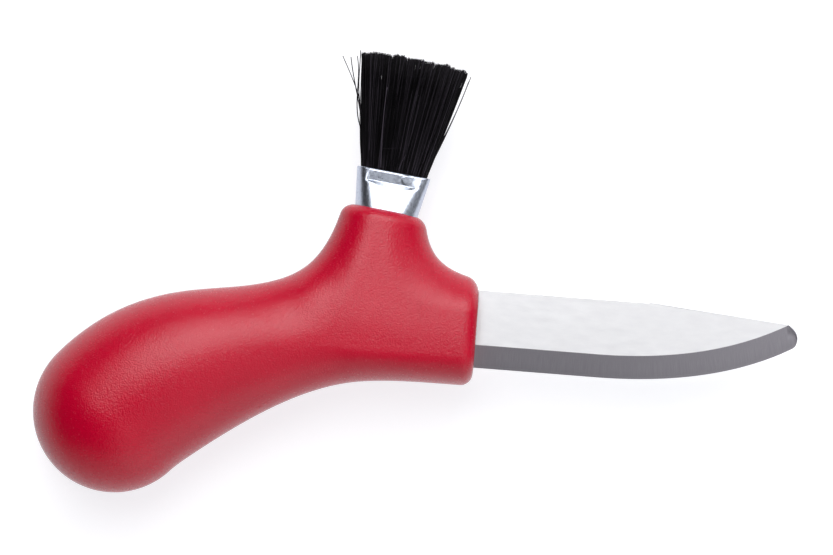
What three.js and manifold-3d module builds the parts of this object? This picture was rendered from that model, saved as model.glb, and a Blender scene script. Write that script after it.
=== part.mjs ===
// Mushroom knife: a plastic handle moulded around the tang of a curved blade and the foot of a brush.
// Millimetres. The knife lies on its side: +X runs along the blade to its tip, +Y towards the brush and
// +Z up, square to the blade. Sizes start where the blade's middle line leaves the front of the handle.
import * as THREE from "three";
import { mergeVertices } from "three/addons/utils/BufferGeometryUtils.js";
import Module from "manifold-3d";

const wasm = await Module();
wasm.setup();

// Gap between pieces that lie against each other
const CLEARANCE = 0.3;

// Blade
const BLADE_LENGTH = 68;
const BLADE_HEIGHT = 16.6;
const BLADE_THICKNESS = 2;
const BEVEL_HEIGHT = 4.9;
const EDGE_THICKNESS = 0.15;
const STRAIGHT_BACK = 36; // then the back drops to the nose
const STRAIGHT_EDGE = 26; // then the edge rises to the nose
const NOSE_RADIUS = 2.8;
const NOSE_RISE = 3.2; // centre of the nose above the middle line
const NOSE_SLOPE = 30; // degrees, of the edge where it meets the nose
const FLAT_NOSE_RADIUS = 0.3; // of the flat inside the bevel

// Tang, in the handle
const TANG_LENGTH = 40;
const TANG_HEIGHT = 9;
const TANG_END_HEIGHT = 5;
const TANG_DIP = 4; // middle of its end below the middle of its root
const TANG_STEP = 0.5; // its lower side above the bevel
const SHOULDER_DEPTH = 3;
const TANG_HOLE_DIAMETER = 3.6;
const TANG_HOLES_BEHIND_FRONT = [13, 28];

// Grip
const GRIP_LENGTH = 74.8; // front to the middle of the butt
const BUTT_DROP = 23.25; // middle of the butt below the blade's middle line
const BUTT_SLOPE = 49.6; // degrees
const BUTT_WIDTH = 34;
const BUTT_THICKNESS = 29;
const FRONT_LIP = 2.55; // handle beyond the back and the edge of the blade
const FRONT_DROP = 1.05;
const FRONT_THICKNESS = 20;
const STRAIGHT_FRONT = 24.8; // pull of the front on the grip's curve
const STRAIGHT_BUTT = 20.25; // pull of the butt on the grip's curve
const WAIST_WIDTH = 20;
const WAIST_BEHIND_FRONT = 25.4;
const FULL_BEHIND_FRONT = 70.5; // from here the grip is as wide as the butt
const FRONT_EDGE_RADIUS = 2.5;
const SIDE_ROUND = 6.4; // width of the rounded edge of the front and the neck, seen from the side
const OVAL_BEHIND_FRONT = 40; // from here the grip is a full oval

// Brush neck
const NECK_BEHIND_FRONT = 24.15; // where its axis meets the blade's middle line
const NECK_HEIGHT = 23.6;
const BRUSH_LEAN = 6.3; // degrees, forward
const BRUSH_AHEAD = 0.6; // brush before the middle of the neck
const NECK_EDGE_WALL = 1.7; // beside the ferrule
const NECK_FACE_WALL = 2.35; // before and behind the ferrule
const NECK_FACE_SLOPE = 8.2; // degrees; the neck is thickest at its foot
const NECK_FOOT = 7; // above the blade's middle line; below this the neck runs out
const NECK_FOOT_SOFTNESS = 12; // how gently it runs out
const NECK_BACK = 5; // behind its axis; beyond this its slope runs out
const NECK_BACK_SOFTNESS = 40; // how gently it runs out
const NECK_BLEND = 28.5; // reach of the hollow between the neck and the grip
const FACE_BLEND = 0.8; // reach of the round between their faces
const NECK_EDGE_RADIUS = 2.3;

// Ferrule
const TUBE_DIAMETER = 11.6;
const FERRULE_WALL = 0.4;
const FERRULE_EXPOSED = 8.2;
const FERRULE_SEATED = 11;
const FLATTENED_BELOW_RIM = 6.9; // the tube is round below this
const MOUTH_WIDTH = 15.7;
const MOUTH_THICKNESS = 4.5;
const MOUTH_BAND = 2.4; // plain band above the crimp
const CRIMP_HEIGHT = 1;
const CRIMP_DEPTH = 0.25;

// Bristles
const BRISTLE_LENGTH = 23.9; // out of the ferrule
const TUFT_TIP_WIDTH = 22.8;
const TUFT_TIP_THICKNESS = 8;
const TUFT_CROWN = 0.9; // middle of the tips above their ends
const FLEX_CLEARANCE = 0.32; // lets the tuft bend in the mouth
const ROOT_LENGTH = 7;
const RESIN_LENGTH = 4;
const HAIR_DIAMETER = 0.3;

// Fineness of the faceted surfaces
const HANDLE_FACET = 2.6;
const OVAL_SIDE_POINTS = 12;
const CURVE_STEPS = 12;

const radians = THREE.MathUtils.degToRad;
const point = (x, y) => new THREE.Vector2(x, y);

// Materials
const redPlastic = new THREE.MeshStandardMaterial({ color: "#bd1230", roughness: 0.45, metalness: 0 });
const stainless = new THREE.MeshStandardMaterial({ color: "#d4d4d6", roughness: 0.3, metalness: 1 });
const tinplate = new THREE.MeshStandardMaterial({ color: "#dcdde0", roughness: 0.22, metalness: 1 });
const blackBristle = new THREE.MeshStandardMaterial({ color: "#171518", roughness: 0.6, metalness: 0 });
const resin = new THREE.MeshStandardMaterial({ color: "#a8864e", roughness: 0.35, metalness: 0 });

// A closed mesh as a solid that can be cut
function solidOf(geometry) {
  const bare = geometry.clone();
  bare.deleteAttribute("normal");
  bare.deleteAttribute("uv");
  const merged = mergeVertices(bare);
  const vertProperties = new Float32Array(merged.attributes.position.array);
  const triVerts = new Uint32Array(merged.index.array);
  return new wasm.Manifold(new wasm.Mesh({ numProp: 3, vertProperties, triVerts }));
}

// A named mesh of a geometry or a cut solid
function meshOf(name, shape, material) {
  if (shape.isBufferGeometry) return namedMesh(name, shape, material);
  const { vertProperties, triVerts } = shape.getMesh();
  const geometry = new THREE.BufferGeometry();
  geometry.setAttribute("position", new THREE.BufferAttribute(vertProperties, 3));
  geometry.setIndex(new THREE.BufferAttribute(triVerts, 1));
  return namedMesh(name, geometry, material);
}

function namedMesh(name, geometry, material) {
  geometry.computeVertexNormals();
  const mesh = new THREE.Mesh(geometry, material);
  mesh.name = name;
  return mesh;
}

// A closed skin over rings of equally many points, each ring counter-clockwise and above the one before
function loft(rings) {
  const count = rings[0].length;
  const faces = [];
  for (let ring = 1; ring < rings.length; ring++) {
    for (let i = 0; i < count; i++) {
      const next = (i + 1) % count;
      const [a, b] = [(ring - 1) * count + i, (ring - 1) * count + next];
      faces.push(a, b, b + count, a, b + count, a + count);
    }
  }
  const top = (rings.length - 1) * count;
  for (const [a, b, c] of THREE.ShapeUtils.triangulateShape([...rings[0]], [])) faces.push(c, b, a);
  for (const [a, b, c] of THREE.ShapeUtils.triangulateShape([...rings.at(-1)], [])) {
    faces.push(top + a, top + b, top + c);
  }
  const geometry = new THREE.BufferGeometry().setFromPoints(rings.flat());
  return geometry.setIndex(faces);
}

const ringAt = (outline, z) => outline.map(({ x, y }) => new THREE.Vector3(x, y, z));

// An oval with round ends, as a ring at height z
function oval(width, thickness, z) {
  const radius = thickness / 2;
  const ring = [];
  for (const side of [1, -1]) {
    for (let i = 0; i < OVAL_SIDE_POINTS; i++) {
      const angle = ((i + 0.5) / OVAL_SIDE_POINTS - 0.5) * Math.PI;
      const x = width / 2 - radius + radius * Math.cos(angle);
      ring.push(new THREE.Vector3(side * x, side * radius * Math.sin(angle), z));
    }
  }
  return ring;
}

// Blade and tang
const bladeTop = BLADE_HEIGHT / 2;
const bevelLevel = BEVEL_HEIGHT - BLADE_HEIGHT / 2;
const tangBottom = bevelLevel + TANG_STEP;
const tangMiddle = tangBottom + TANG_HEIGHT / 2;
const noseCentre = point(BLADE_LENGTH - NOSE_RADIUS, NOSE_RISE);
const toNose = noseCentre.clone().sub(point(STRAIGHT_BACK, bladeTop));
const backSlope = -toNose.angle() + 2 * Math.PI - Math.asin(NOSE_RADIUS / toNose.length());
const backNormal = point(Math.sin(backSlope), Math.cos(backSlope));
const backEnd = noseCentre.clone().addScaledVector(backNormal, NOSE_RADIUS);

// Outline of the bare blade, to its edge or to the flat inside the bevel
function bladeOutline(edgeLevel, noseRadius) {
  const nose = backEnd.clone().addScaledVector(backNormal, -noseRadius);
  const slope = radians(NOSE_SLOPE);
  const edgeEnd = point(nose.x + noseRadius * Math.sin(slope), nose.y - noseRadius * Math.cos(slope));
  const bendX = edgeEnd.x - (edgeEnd.y - edgeLevel) / Math.tan(slope);
  const outline = new THREE.Path();
  outline.moveTo(0, edgeLevel);
  outline.lineTo(STRAIGHT_EDGE, edgeLevel);
  outline.quadraticCurveTo(bendX, edgeLevel, edgeEnd.x, edgeEnd.y);
  outline.absarc(nose.x, nose.y, noseRadius, slope - Math.PI / 2, Math.PI / 2 - backSlope);
  outline.lineTo(STRAIGHT_BACK, bladeTop);
  outline.lineTo(0, bladeTop);
  return outline.getPoints(CURVE_STEPS);
}

// Outline of the tang with the heel of the blade, grown by a gap and reaching to frontX
function tangOutline(edgeLevel, frontX, grown) {
  const endX = -TANG_LENGTH - grown;
  const endMiddle = tangMiddle - TANG_DIP;
  const shoulderX = -SHOULDER_DEPTH - grown;
  return [
    point(endX, endMiddle - TANG_END_HEIGHT / 2 - grown),
    point(shoulderX, tangBottom - grown),
    point(shoulderX, edgeLevel),
    point(frontX, edgeLevel),
    point(frontX, bladeTop + grown),
    point(shoulderX, bladeTop + grown),
    point(shoulderX, tangBottom + TANG_HEIGHT + grown),
    point(endX, endMiddle + TANG_END_HEIGHT / 2 + grown),
  ];
}

// A ground body: thin at its full outline and as thick as the sheet inside the bevel
function groundSolid(flat, full, grown) {
  const side = BLADE_THICKNESS / 2 + grown;
  const edge = EDGE_THICKNESS / 2 + grown;
  return solidOf(loft([ringAt(flat, -side), ringAt(full, -edge), ringAt(full, edge), ringAt(flat, side)]));
}

function tangSolid(frontX, grown) {
  const flat = tangOutline(bevelLevel, frontX, grown);
  const full = tangOutline(-bladeTop - grown, frontX, grown);
  const body = groundSolid(flat, full, grown);
  return TANG_HOLES_BEHIND_FRONT.reduce((cut, behind) => cut.subtract(tangHole(behind, grown)), body);
}

function bladeSolid() {
  const flat = bladeOutline(bevelLevel, FLAT_NOSE_RADIUS);
  const full = bladeOutline(-bladeTop, NOSE_RADIUS);
  return groundSolid(flat, full, 0).add(tangSolid(0, 0));
}

// The moulded handle fills each tang hole with a peg, smaller than the hole by the gap
function tangHole(behind, grown) {
  const radius = TANG_HOLE_DIAMETER / 2 - grown;
  const share = (behind - SHOULDER_DEPTH) / (TANG_LENGTH - SHOULDER_DEPTH);
  const pin = new THREE.CylinderGeometry(radius, radius, 2 * BLADE_THICKNESS, 2 * CURVE_STEPS);
  pin.rotateX(Math.PI / 2);
  pin.translate(-behind, tangMiddle - TANG_DIP * share, 0);
  return solidOf(pin);
}

// Ferrule, a tube that is round at its foot and flattens to its mouth; heights are above the rim of the neck
const crimpTop = FERRULE_EXPOSED - MOUTH_BAND;
const crimpBottom = crimpTop - CRIMP_HEIGHT;
const crimpMiddle = (crimpTop + crimpBottom) / 2;
const ferruleHeights = [
  -FERRULE_SEATED, -FLATTENED_BELOW_RIM, crimpBottom, crimpMiddle, crimpTop, FERRULE_EXPOSED,
];

// Size of the ferrule at height z
function ferruleAt(z) {
  const flattening = FERRULE_EXPOSED + FLATTENED_BELOW_RIM;
  const share = THREE.MathUtils.clamp((z + FLATTENED_BELOW_RIM) / flattening, 0, 1);
  const pressed = Math.max(1 - (2 * Math.abs(z - crimpMiddle)) / CRIMP_HEIGHT, 0) * CRIMP_DEPTH;
  return {
    width: THREE.MathUtils.lerp(TUBE_DIAMETER, MOUTH_WIDTH, share),
    thickness: THREE.MathUtils.lerp(TUBE_DIAMETER, MOUTH_THICKNESS, share) - 2 * pressed,
  };
}

// A solid that follows the ferrule from one height to another, moved out from its outside by an offset
function ferruleFill(from, to, offset) {
  const between = ferruleHeights.filter((z) => z > from && z < to);
  return loft([from, ...between, to].map((z) => {
    const { width, thickness } = ferruleAt(z);
    return oval(width + 2 * offset, thickness + 2 * offset, z);
  }));
}

function ferruleTube() {
  const outside = ferruleFill(-FERRULE_SEATED, FERRULE_EXPOSED, 0);
  const inside = ferruleFill(-FERRULE_SEATED - 1, FERRULE_EXPOSED + 1, -FERRULE_WALL);
  return solidOf(outside).subtract(solidOf(inside));
}

// Bristles: the tuft turns about the mouth of the ferrule, on a half-round foot
const insideWall = -FERRULE_WALL - CLEARANCE;
const footRadius = MOUTH_THICKNESS / 2 - FERRULE_WALL - FLEX_CLEARANCE;
const tuftRootWidth = ferruleAt(FERRULE_EXPOSED - footRadius).width + 2 * insideWall;
const rootTop = FERRULE_EXPOSED - footRadius - CLEARANCE;
const rootBottom = rootTop - ROOT_LENGTH;
const resinTop = rootBottom - CLEARANCE;
const resinBottom = resinTop - RESIN_LENGTH;

function tuft() {
  const rings = [0.15, 0.4, 0.7, 1].map((share) => {
    const angle = (share * Math.PI) / 2;
    const thickness = 2 * footRadius * Math.sin(angle);
    return oval(tuftRootWidth, thickness, FERRULE_EXPOSED - footRadius * Math.cos(angle));
  });
  const tips = oval(TUFT_TIP_WIDTH, TUFT_TIP_THICKNESS, FERRULE_EXPOSED + BRISTLE_LENGTH);
  for (const tip of tips) tip.z -= TUFT_CROWN * (2 * tip.x / TUFT_TIP_WIDTH) ** 2;
  return loft([...rings, tips]);
}

// Hairs that stand away from the tuft, at its back edge (side -1) or its front edge (side 1). Where a hair
// starts and ends is a share of the tuft's length, where it lies across the edge is a share of the tuft's
// thickness at the foot, and it leans out by some degrees.
const strays = [
  { name: "stray_bristle_back_low", side: -1, across: 0.3, from: 0.38, to: 1, lean: 15 },
  { name: "stray_bristle_back_mid", side: -1, across: 0, from: 0.44, to: 0.98, lean: 11 },
  { name: "stray_bristle_back_high", side: -1, across: -0.3, from: 0.5, to: 0.96, lean: 7 },
  { name: "stray_bristle_front_low", side: 1, across: 0.2, from: 0.34, to: 0.93, lean: 4 },
  { name: "stray_bristle_front_high", side: 1, across: -0.2, from: 0.55, to: 0.97, lean: 3 },
];

// Half the width of the tuft at a share of its length
const tuftSide = (share) => THREE.MathUtils.lerp(tuftRootWidth, TUFT_TIP_WIDTH, share) / 2;

function strayHair({ side, across, from, to, lean }) {
  const rise = (to - from) * BRISTLE_LENGTH;
  const placeAt = (share, out) => new THREE.Vector3(
    side * (tuftSide(share) + HAIR_DIAMETER / 2 + out),
    across * 2 * footRadius,
    FERRULE_EXPOSED + share * BRISTLE_LENGTH,
  );
  const root = placeAt(from, 0);
  const bend = placeAt(THREE.MathUtils.lerp(from, to, 0.45), 0);
  const tip = placeAt(to, rise * Math.tan(radians(lean)));
  const path = new THREE.QuadraticBezierCurve3(root, bend, tip);
  const section = new THREE.Shape().absarc(0, 0, HAIR_DIAMETER / 2, 0, 2 * Math.PI);
  return new THREE.ExtrudeGeometry(section, { extrudePath: path, steps: 6, curveSegments: 3 });
}

// The brush stands in the neck: its z runs up the bristles and its x across them
const lean = radians(BRUSH_LEAN);
const brush = new THREE.Group();
brush.name = "brush";
brush.rotation.set(-Math.PI / 2, 0, -lean, "ZYX");
brush.position.set(NECK_HEIGHT * Math.sin(lean), NECK_HEIGHT * Math.cos(lean), 0);
brush.position.x += BRUSH_AHEAD * Math.cos(lean) - NECK_BEHIND_FRONT;
brush.position.y -= BRUSH_AHEAD * Math.sin(lean);
brush.updateMatrix();
brush.add(meshOf("ferrule", ferruleTube(), tinplate));
brush.add(meshOf("setting_resin", ferruleFill(resinBottom, resinTop, insideWall), resin));
brush.add(meshOf("bristle_root", ferruleFill(rootBottom, rootTop, insideWall), blackBristle));
brush.add(meshOf("bristle_tuft", tuft(), blackBristle));
for (const stray of strays) brush.add(meshOf(stray.name, strayHair(stray), blackBristle));

// Handle: an outline seen from the side, with a thickness and rounded edges
const frontWidth = BLADE_HEIGHT + 2 * FRONT_LIP;
const neckWidth = ferruleAt(0).width + 2 * NECK_EDGE_WALL;
const neckThickness = ferruleAt(0).thickness + 2 * NECK_FACE_WALL;
const gripCurve = gripSpine();

// Middle line of the grip: straight back from the front, then down to the middle of the butt
function gripSpine() {
  const front = point(0, -FRONT_DROP);
  const butt = point(-GRIP_LENGTH, -BUTT_DROP);
  const frontPull = point(-STRAIGHT_FRONT, -FRONT_DROP);
  const pull = point(Math.cos(radians(BUTT_SLOPE)), Math.sin(radians(BUTT_SLOPE)));
  const buttPull = butt.clone().addScaledVector(pull, STRAIGHT_BUTT);
  const curve = new THREE.CubicBezierCurve(front, frontPull, buttPull, butt);
  return [point(frontWidth, -FRONT_DROP), ...curve.getPoints(4 * CURVE_STEPS)];
}

function nearestOnGrip(x, y) {
  const place = point(x, y);
  let nearest = { distance: Infinity };
  for (let i = 1; i < gripCurve.length; i++) {
    const from = gripCurve[i - 1];
    const along = gripCurve[i].clone().sub(from);
    const share = THREE.MathUtils.clamp(place.clone().sub(from).dot(along) / along.lengthSq(), 0, 1);
    const foot = from.clone().addScaledVector(along, share);
    const distance = foot.distanceTo(place);
    if (distance < nearest.distance) nearest = { distance, x: foot.x };
  }
  return nearest;
}

// Distance outside an ellipse of half-sizes a and b, near enough for blending
function outsideEllipse(u, v, a, b) {
  const reach = Math.hypot(u / a, v / b);
  const steepness = Math.hypot(u / a ** 2, v / b ** 2);
  return steepness > 0 ? (reach * (reach - 1)) / steepness : -Math.min(a, b);
}

// Distance outside the outline of the grip, and the grip's thickness and rounding there
function gripAt(x, y) {
  const nearest = nearestOnGrip(x, y);
  const behind = -nearest.x;
  const swell = THREE.MathUtils.smoothstep(behind, WAIST_BEHIND_FRONT, FULL_BEHIND_FRONT);
  const narrowing = THREE.MathUtils.smoothstep(behind, 0, WAIST_BEHIND_FRONT);
  const slimWidth = THREE.MathUtils.lerp(frontWidth, WAIST_WIDTH, narrowing);
  const halfWidth = THREE.MathUtils.lerp(slimWidth, BUTT_WIDTH, swell) / 2;
  const ovalness = THREE.MathUtils.smoothstep(behind, 0.4 * WAIST_BEHIND_FRONT, OVAL_BEHIND_FRONT);
  return {
    outside: nearest.distance - halfWidth,
    halfThickness: THREE.MathUtils.lerp(FRONT_THICKNESS, BUTT_THICKNESS, swell) / 2,
    round: THREE.MathUtils.lerp(SIDE_ROUND, halfWidth, ovalness),
  };
}

// Place in the neck's own directions: across it and above its rim
function inNeck(x, y) {
  const [right, up] = [x - brush.position.x, y - brush.position.y];
  return {
    across: right * Math.cos(lean) - up * Math.sin(lean) + BRUSH_AHEAD,
    above: right * Math.sin(lean) + up * Math.cos(lean),
  };
}

// Distance outside the outline of the neck, and the neck's thickness there
function neckAt(x, y) {
  const { across, above } = inNeck(x, y);
  const pastFoot = Math.max(NECK_FOOT - NECK_HEIGHT - above, 0);
  const pastBack = Math.max(-NECK_BACK - across, 0);
  const slope = Math.tan(radians(NECK_FACE_SLOPE));
  return {
    outside: Math.abs(across) - neckWidth / 2 + pastFoot ** 2 / NECK_FOOT_SOFTNESS,
    halfThickness: neckThickness / 2 - above * slope + pastBack ** 2 / NECK_BACK_SOFTNESS,
  };
}

// The smaller of two numbers, with a smooth change from one to the other
function smoothLeast(a, b, reach) {
  return Math.min(a, b) - Math.max(reach - Math.abs(a - b), 0) ** 3 / (6 * reach ** 2);
}

// Cut with a round of the given radius
function roundCut(a, b, radius) {
  return Math.min(-radius, Math.max(a, b)) + Math.hypot(Math.max(a + radius, 0), Math.max(b + radius, 0));
}

// Distance outside the handle, near enough to find its surface
function outsideHandle(x, y, z) {
  const [grip, neck] = [gripAt(x, y), neckAt(x, y)];
  const outside = smoothLeast(grip.outside, neck.outside, NECK_BLEND);
  const halfThickness = smoothLeast(grip.halfThickness, neck.halfThickness, FACE_BLEND);
  const inRound = Math.max(grip.round + outside, 0);
  const sides = outsideEllipse(inRound, z, grip.round, halfThickness);
  const fronted = roundCut(sides, x, FRONT_EDGE_RADIUS);
  return roundCut(fronted, inNeck(x, y).above, NECK_EDGE_RADIUS);
}

// Move a place onto the surface of a form, along the form's slope
function settle(form, place) {
  const step = 0.01;
  for (let i = 0; i < 5; i++) {
    const { x, y, z } = place;
    const here = form(x, y, z);
    const slope = new THREE.Vector3(form(x + step, y, z), form(x, y + step, z), form(x, y, z + step));
    slope.subScalar(here).divideScalar(step);
    place.addScaledVector(slope, -here / slope.lengthSq());
  }
  return place;
}

// A closed skin over a form: one point in each grid cell that its surface crosses, and one four-sided
// face across each grid line that it crosses
function skinOver(form, box, facet) {
  const cells = box.getSize(new THREE.Vector3()).divideScalar(facet).ceil().addScalar(2);
  const corner = box.getCenter(new THREE.Vector3()).addScaledVector(cells, -facet / 2);
  const [nx, ny, nz] = [cells.x + 1, cells.y + 1, cells.z + 1];
  const index = (i, j, k) => (k * ny + j) * nx + i;
  const place = (i, j, k) => new THREE.Vector3(i, j, k).multiplyScalar(facet).add(corner);
  const outside = new Float64Array(nx * ny * nz);
  const eachCorner = (visit) => {
    for (let k = 0; k < nz; k++) for (let j = 0; j < ny; j++) for (let i = 0; i < nx; i++) visit(i, j, k);
  };
  eachCorner((i, j, k) => {
    const { x, y, z } = place(i, j, k);
    outside[index(i, j, k)] = form(x, y, z);
  });
  const points = [];
  const pointIn = new Map();
  const steps = [1, nx, nx * ny];
  const cellCorners = [0, 1, 2, 3, 4, 5, 6, 7].map((n) => [n & 1, (n >> 1) & 1, n >> 2]);
  const cellEdges = cellCorners.flatMap((a) => [0, 1, 2].filter((axis) => !a[axis]).map((axis) => [a, axis]));

  // Middle of the places where the cell's edges cross the surface
  function crossingMiddle(i, j, k) {
    const middle = new THREE.Vector3();
    let count = 0;
    for (const [[a, b, c], axis] of cellEdges) {
      const start = index(i + a, j + b, k + c);
      const [from, to] = [outside[start], outside[start + steps[axis]]];
      if ((from < 0) === (to < 0)) continue;
      const crossing = new THREE.Vector3(a, b, c);
      crossing.setComponent(axis, from / (from - to));
      middle.add(crossing);
      count += 1;
    }
    return count ? middle.divideScalar(count).add(new THREE.Vector3(i, j, k)) : null;
  }

  eachCorner((i, j, k) => {
    if (i === nx - 1 || j === ny - 1 || k === nz - 1) return;
    const middle = crossingMiddle(i, j, k);
    if (!middle) return;
    pointIn.set(index(i, j, k), points.length);
    points.push(settle(form, middle.multiplyScalar(facet).add(corner)));
  });

  const faces = [];
  eachCorner((i, j, k) => {
    const here = index(i, j, k);
    for (let axis = 0; axis < 3; axis++) {
      const there = here + steps[axis];
      const atEnd = [i, j, k][axis] === cells.getComponent(axis);
      if (atEnd || (outside[here] < 0) === (outside[there] < 0)) continue;
      const [u, v] = [steps[(axis + 1) % 3], steps[(axis + 2) % 3]];
      const around = [here - u - v, here - v, here, here - u].map((cell) => pointIn.get(cell));
      const [a, b, c, d] = outside[here] < 0 ? around : around.reverse();
      faces.push(a, b, c, a, c, d);
    }
  });
  return new THREE.BufferGeometry().setFromPoints(points).setIndex(faces);
}

// The foot of the ferrule is moulded in: the socket follows it, and a peg fills the foot below the resin
function ferruleSocket() {
  const socket = ferruleFill(-FERRULE_SEATED - CLEARANCE, NECK_EDGE_RADIUS, CLEARANCE);
  const peg = ferruleFill(-FERRULE_SEATED - 1, resinBottom - CLEARANCE, insideWall);
  const cut = solidOf(socket).subtract(solidOf(peg));
  return cut.transform(brush.matrix.elements);
}

function handleSolid() {
  const top = brush.position.y + neckWidth / 2;
  const low = -BUTT_DROP - BUTT_WIDTH / 2;
  const back = -GRIP_LENGTH - BUTT_WIDTH / 2;
  const half = BUTT_THICKNESS / 2;
  const box = new THREE.Box3(new THREE.Vector3(back, low, -half), new THREE.Vector3(0, top, half));
  const skin = solidOf(skinOver(outsideHandle, box, HANDLE_FACET));
  return skin.subtract(tangSolid(FRONT_EDGE_RADIUS, CLEARANCE)).subtract(ferruleSocket());
}

// Lay the knife down with the middle of its box over the origin and its lowest point at height zero
const knife = new THREE.Group();
knife.name = "mushroom_knife";
knife.add(meshOf("handle", handleSolid(), redPlastic));
knife.add(meshOf("blade", bladeSolid(), stainless));
knife.add(brush);
const reach = new THREE.Box3().setFromObject(knife);
const middle = reach.getCenter(new THREE.Vector3());
knife.position.set(-middle.x, -middle.y, -reach.min.z);

export default knife;
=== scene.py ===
"""Looks of a mushroom knife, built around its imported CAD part: metres, in the part's own frame."""

import logging
import math
from collections.abc import Callable, Sequence
from dataclasses import dataclass, field
from enum import Enum

import bpy
import numpy as np
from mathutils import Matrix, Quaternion, Vector


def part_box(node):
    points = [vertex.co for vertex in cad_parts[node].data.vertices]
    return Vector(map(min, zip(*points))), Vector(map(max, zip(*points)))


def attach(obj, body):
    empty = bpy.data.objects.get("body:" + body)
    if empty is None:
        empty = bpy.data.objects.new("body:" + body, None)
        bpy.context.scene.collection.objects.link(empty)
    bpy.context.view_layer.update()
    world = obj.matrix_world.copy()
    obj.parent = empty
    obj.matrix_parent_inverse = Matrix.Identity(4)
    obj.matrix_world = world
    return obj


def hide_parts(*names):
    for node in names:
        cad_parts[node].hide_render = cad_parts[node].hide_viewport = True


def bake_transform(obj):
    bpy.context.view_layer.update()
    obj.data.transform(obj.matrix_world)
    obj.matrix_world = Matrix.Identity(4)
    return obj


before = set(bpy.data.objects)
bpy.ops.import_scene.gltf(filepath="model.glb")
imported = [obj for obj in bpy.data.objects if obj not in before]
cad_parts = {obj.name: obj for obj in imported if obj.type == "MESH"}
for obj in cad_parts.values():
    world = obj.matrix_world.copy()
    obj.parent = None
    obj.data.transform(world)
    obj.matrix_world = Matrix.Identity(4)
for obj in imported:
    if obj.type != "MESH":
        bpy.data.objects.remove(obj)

MM = 0.001
# Span that most values of a noise texture fall in
NOISE_SPAN = (0.3, 0.7)
LOG = logging.getLogger("mushroom_knife")


class Body(str, Enum):
    """Bodies of the CAD part."""

    KNIFE = "knife"
    BRISTLES = "bristles"


class Slot(str, Enum):
    """Material slots of the pieces built here."""

    PLASTIC = "red_plastic"
    STEEL = "stainless_steel"
    TINPLATE = "tinplate"
    BRISTLE = "black_bristle"


def linear(colour: str) -> tuple[float, float, float, float]:
    """Turn an sRGB colour into the linear one that shaders use.

    Args:
        colour: six hex digits after a hash.

    Returns:
        Red, green, blue and an alpha of 1.
    """
    parts = [int(colour[i : i + 2], 16) / 255 for i in (1, 3, 5)]
    r, g, b = (c / 12.92 if c <= 0.04045 else ((c + 0.055) / 1.055) ** 2.4 for c in parts)
    return r, g, b, 1.0


def smoothstep(value: np.ndarray, start: float, end: float) -> np.ndarray:
    """Rise smoothly from 0 at start to 1 at end.

    Args:
        value: numbers to map.
        start: where the rise begins.
        end: where it is complete.

    Returns:
        The shares, from 0 to 1.
    """
    t = np.clip((value - start) / (end - start), 0, 1)
    return t * t * (3 - 2 * t)


def bezier(controls: Sequence[Sequence[float]], steps: int) -> np.ndarray:
    """Draw a Bezier curve.

    Args:
        controls: its control points.
        steps: how many points to draw.

    Returns:
        One row for each point.
    """
    t = np.linspace(0, 1, steps)[:, None]
    points = [np.asarray(control, float) + 0 * t for control in controls]
    while len(points) > 1:
        points = [(1 - t) * a + t * b for a, b in zip(points, points[1:])]
    return points[0]


def add_node(
    tree: bpy.types.NodeTree,
    kind: str,
    values: dict[str | int, object] | None = None,
    links: dict[str | int, bpy.types.NodeSocket] | None = None,
    **settings: object,
) -> bpy.types.Node:
    """Add a shader node with its settings and links.

    Args:
        tree: tree that gets the node.
        kind: Blender's name for the kind of node.
        values: constant for each input that has one.
        links: output that drives each linked input.
        settings: properties of the node itself.

    Returns:
        The new node.
    """
    node = tree.nodes.new(kind)
    for name, setting in settings.items():
        setattr(node, name, setting)
    for name, value in (values or {}).items():
        node.inputs[name].default_value = value
    for name, source in (links or {}).items():
        tree.links.new(source, node.inputs[name])
    return node


def noise_to(low: float, high: float) -> dict[str, float]:
    """Give the inputs of a Map Range node that turn most of a noise into the numbers from low to high."""
    return {"From Min": NOISE_SPAN[0], "From Max": NOISE_SPAN[1], "To Min": low, "To Max": high}


def new_material(name: str) -> bpy.types.Material:
    """Make a material with an empty node tree.

    Args:
        name: name of the real material and process.

    Returns:
        The material.
    """
    material = bpy.data.materials.new(name)
    material.use_nodes = True
    material.node_tree.nodes.clear()
    return material


def new_object(
    name: str,
    points: np.ndarray,
    faces: Sequence[Sequence[int]] | np.ndarray,
    materials: Sequence[bpy.types.Material],
    smooth: bool = True,
) -> bpy.types.Object:
    """Make a mesh object and put it in the scene.

    Args:
        name: name of the piece.
        points: one row of x, y, z for each vertex, in the part's frame.
        faces: vertex numbers of each face, counter-clockwise from outside.
        materials: finishes of the piece.
        smooth: whether its faces are shaded as one smooth surface.

    Returns:
        The object.
    """
    mesh = bpy.data.meshes.new(name)
    mesh.from_pydata(np.asarray(points).tolist(), [], [list(map(int, face)) for face in faces])
    mesh.validate()
    for material in materials:
        mesh.materials.append(material)
    mesh.polygons.foreach_set("use_smooth", [smooth] * len(mesh.polygons))
    obj = bpy.data.objects.new(name, mesh)
    bpy.context.scene.collection.objects.link(obj)
    return obj


def band_faces(rings: int, count: int) -> np.ndarray:
    """Number the four-sided faces between rings of equally many points.

    Args:
        rings: how many rings there are.
        count: points in each ring.

    Returns:
        One row of vertex numbers for each face.
    """
    ring, spot = np.meshgrid(np.arange(rings - 1) * count, np.arange(count), indexing="ij")
    after = (spot + 1) % count
    corners = ring + spot, ring + after, ring + count + after, ring + count + spot
    return np.stack(corners, -1).reshape(-1, 4)


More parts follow.
